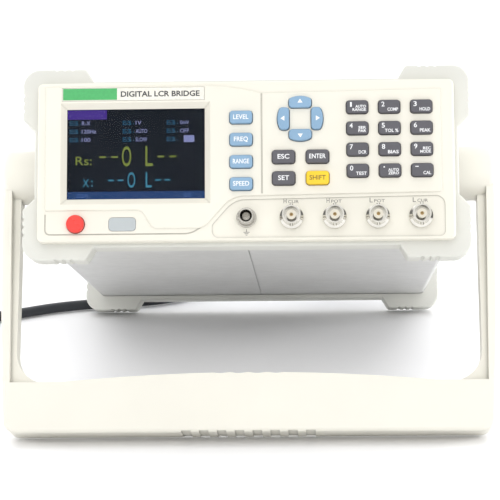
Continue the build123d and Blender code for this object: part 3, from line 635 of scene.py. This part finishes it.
# ---------------------------------------------------------------- screen contents
# millimetres to the right of the lit area's top left corner, and below it
screen = facing(-95.0, LCD_DEPTH, 28.7)
STATUS_ROWS = (7.05, 11.55, 16.05)      # middles of the three rows of small words
LABEL_COLUMNS = (1.0, 29.4, 52.9)
VALUE_COLUMNS = (7.6, 36.4, 60.2)
STATUS_VALUES = [("R-X", "1V", "0mV"), ("120Hz", "AUTO", "OFF"), ("100", "SLOW", "")]
MAIN_ROW, SECOND_ROW = 25.3, 38.0

# strokes of a small square character: middle x and y, width and height, as shares of its height
CHARACTER = [
    (0.45, 0.08, 0.84, 0.12),
    (0.45, 0.46, 0.66, 0.11),
    (0.45, 0.90, 0.84, 0.12),
    (0.16, 0.50, 0.12, 0.84),
    (0.62, 0.50, 0.11, 0.78),
    (0.86, 0.68, 0.11, 0.40),
]

teal_light = glowing("teal_light", (0.03, 0.125, 0.23))
lilac_light = glowing("lilac_light", (0.22, 0.24, 0.46))
purple_light = glowing("purple_light", (0.06, 0.03, 0.24))
olive_light = glowing("olive_light", (0.19, 0.235, 0.045))
cyan_light = glowing("cyan_light", (0.045, 0.21, 0.32))
blue_light = glowing("blue_light", (0.02, 0.052, 0.155))
mark_light = glowing("mark_light", (0.06, 0.13, 0.36))


def add_dashes(bm, xs, middle, width, thick):
    """Bars side by side, all at one height."""
    for x in xs:
        add_plate(bm, rectangle(x, -middle, width, thick), screen, 0.05)


def add_label(bm, x, y, blocks, tall):
    """A word of small square characters, each with another stroke left out."""
    for block in range(blocks):
        left = x + block * tall * 1.08
        for stroke, (dx, dy, width, high) in enumerate(CHARACTER):
            if (stroke + block) % 5 == 4:
                continue
            outline = rectangle(left + dx * tall, -(y + dy * tall), width * tall, high * tall)
            add_plate(bm, outline, screen, 0.04)


def screen_piece(name, look, draw):
    bm = bmesh.new()
    draw(bm)
    piece_from(bm, name, look, "case")


def draw_labels(bm):
    for middle in STATUS_ROWS:
        for column in LABEL_COLUMNS:
            add_label(bm, column, middle - 1.15, 2, 2.3)
            add_dashes(bm, [column + 5.9], middle + 0.45, 0.4, 0.4)


def draw_values(bm):
    for middle, words in zip(STATUS_ROWS, STATUS_VALUES):
        for column, word in zip(VALUE_COLUMNS, words):
            if word:
                add_words(bm, word, column, -middle, 2.0, 1.55 * len(word), screen, 0.0, 0.03)
    add_plate(bm, rectangle(64.9, -15.9, 5.6, 3.7), screen, 0.05)


def draw_main(bm):
    add_words(bm, "Rs:", 4.4, -27.4, 4.4, 8.6, screen, 0.0, 0.0)
    add_dashes(bm, (18.8, 25.2, 49.9, 56.3), MAIN_ROW + 0.1, 3.5, 0.9)
    add_words(bm, "O", 31.6, -MAIN_ROW, 10.2, 5.0, screen, weight=0.06)
    add_words(bm, "L", 43.6, -MAIN_ROW, 10.2, 3.9, screen, weight=0.06)


def draw_second(bm):
    add_words(bm, "X", 8.2, -39.4, 4.2, 3.4, screen, 0.0, 0.0)
    for y in (-38.4, -40.8):
        add_plate(bm, rectangle(13.2, y, 0.8, 0.8), screen, 0.05)
    add_dashes(bm, (23.3, 28.4, 48.4, 53.4), SECOND_ROW, 3.0, 0.8)
    add_words(bm, "O", 34.2, -SECOND_ROW, 7.8, 4.2, screen, weight=0.05)
    add_words(bm, "L", 43.4, -SECOND_ROW, 7.8, 3.2, screen, weight=0.05)


def draw_title(bm):
    add_plate(bm, rectangle(10.5, -2.5, 21.0, 5.0), screen, 0.04)


def draw_bar(bm):
    add_plate(bm, rectangle(36.7, -46.2, 73.3, 4.3), screen, 0.02)


def draw_bar_marks(bm):
    add_label(bm, 5.0, 45.2, 3, 2.0)
    add_label(bm, 62.0, 45.2, 2, 2.0)


screen_piece("screen_labels", teal_light, draw_labels)
screen_piece("screen_values", lilac_light, draw_values)
screen_piece("screen_main_row", olive_light, draw_main)
screen_piece("screen_second_row", cyan_light, draw_second)
screen_piece("screen_title", purple_light, draw_title)
screen_piece("screen_bar", blue_light, draw_bar)
screen_piece("screen_bar_marks", mark_light, draw_bar_marks)


# ---------------------------------------------------------------- small metal details
def add_ring(bm, outline, place, steps, teeth=0, tooth=0.0):
    """Solid turned about the place's z axis from a closed (radius, height) outline.

    Where there are teeth, the radius swings by tooth that many times round.
    """
    rows = []
    for step in range(steps):
        turn = 2 * math.pi * step / steps
        swell = tooth * (0.5 + 0.5 * math.cos(teeth * turn))
        across = Vector((math.cos(turn), math.sin(turn), 0.0))
        rows.append([bm.verts.new(place @ (across * (r + swell) + Vector((0, 0, z)))) for r, z in outline])
    count = len(outline)
    for step in range(steps):
        row, after = rows[step], rows[(step + 1) % steps]
        for index in range(count):
            following = (index + 1) % count
            bm.faces.new((row[index], after[index], after[following], row[following]))


def add_terminal_knurl():
    """Knurled band round the ground terminal's cap."""
    bm = bmesh.new()
    outline = [(3.9, 1.9), (4.35, 2.2), (4.35, 5.6), (3.9, 5.9)]
    add_ring(bm, outline, facing(GROUND_X, ZONE_DEPTH, JACK_HEIGHT), 216, 36, -0.25)
    piece_from(bm, "terminal_knurl", looks["terminal_nickel"], "case")


def add_jack_rings():
    """Sloping shoulder between each jack's flange and its barrel."""
    bm = bmesh.new()
    outline = [(4.8, 1.9), (6.2, 1.9), (6.2, 2.3), (4.9, 3.3), (4.8, 3.3)]
    for index in range(4):
        add_ring(bm, outline, facing(JACK_X + JACK_STEP * index, ZONE_DEPTH, JACK_HEIGHT), 128)
    piece_from(bm, "jack_shoulders", looks["jack_nickel"], "case")


add_terminal_knurl()
add_jack_rings()


# ---------------------------------------------------------------- floor and light
def add_floor():
    """White table top, a hair under the feet."""
    bm = bmesh.new()
    corners = [(-6.0, -4.0), (6.0, -4.0), (6.0, 8.0), (-6.0, 8.0)]
    bm.faces.new([bm.verts.new((x, y, -0.0004)) for x, y in corners])
    mesh = bpy.data.meshes.new("floor")
    bm.to_mesh(mesh)
    bm.free()
    s = Shader("floor_white", roughness=0.6)
    s.link(
        s.colours(s.noise(3.0, 2.0), (0.86, 0.86, 0.87), (0.89, 0.89, 0.90)),
        s.shader.inputs["Base Color"],
    )
    mesh.materials.append(s.material)
    floor = bpy.data.objects.new("floor", mesh)
    bpy.context.collection.objects.link(floor)


def add_light(name, place, aim, size, power, mirrored=True):
    """Rectangular lamp; one that isn't mirrored leaves no highlight on shiny surfaces."""
    data = bpy.data.lights.new(name, "AREA")
    data.shape = "RECTANGLE"
    data.size, data.size_y = size
    data.energy = power
    light = bpy.data.objects.new(name, data)
    light.visible_glossy = mirrored
    bpy.context.collection.objects.link(light)
    direction = Vector(aim) - Vector(place)
    light.matrix_world = Matrix.Translation(place) @ direction.to_track_quat("-Z", "Y").to_matrix().to_4x4()


def add_world():
    """Bright studio; its side walls and a patch behind the camera are dark, for metal to reflect."""
    world = bpy.data.worlds.new("studio")
    world.use_nodes = True
    tree = world.node_tree
    place = tree.nodes.new("ShaderNodeTexCoord").outputs["Generated"]

    def shade(value, begin, end, dark):
        ramp = tree.nodes.new("ShaderNodeValToRGB")
        ramp.color_ramp.elements[0].position = begin
        ramp.color_ramp.elements[0].color = (1.0, 1.0, 1.0, 1)
        ramp.color_ramp.elements[1].position = end
        ramp.color_ramp.elements[1].color = (dark, dark, dark, 1)
        tree.links.new(value, ramp.inputs["Fac"])
        return ramp.outputs["Color"]

    axes = tree.nodes.new("ShaderNodeSeparateXYZ")
    tree.links.new(place, axes.inputs["Vector"])
    aside = tree.nodes.new("ShaderNodeMath")
    aside.operation = "ABSOLUTE"
    tree.links.new(axes.outputs["X"], aside.inputs[0])
    towards = tree.nodes.new("ShaderNodeVectorMath")
    towards.operation = "DOT_PRODUCT"
    towards.inputs[1].default_value = (0.0, -0.88, 0.47)
    tree.links.new(place, towards.inputs[0])
    both = tree.nodes.new("ShaderNodeVectorMath")
    both.operation = "MULTIPLY"
    tree.links.new(shade(aside.outputs["Value"], 0.55, 0.8, 0.12), both.inputs[0])
    tree.links.new(shade(towards.outputs["Value"], 0.87, 0.94, 0.7), both.inputs[1])
    background = tree.nodes["Background"]
    tree.links.new(both.outputs["Vector"], background.inputs["Color"])
    background.inputs["Strength"].default_value = 1.62
    bpy.context.scene.world = world


add_floor()
add_world()
add_light("key_light", (0.7, 0.7, 1.4), (0, 0.0, 0.1), (0.8, 0.8), 1.5)
add_light("front_fill", (0.0, -1.5, 1.0), (0, 0.0, 0.03), (1.6, 0.8), 5.4, mirrored=False)
add_light("left_fill", (-1.0, 0.16, 0.2), (0, 0.08, 0.0), (0.9, 0.32), 6, mirrored=False)
add_light("right_fill", (1.0, 0.16, 0.2), (0, 0.08, 0.0), (0.9, 0.32), 9, mirrored=False)
bpy.context.scene.view_settings.view_transform = "Standard"
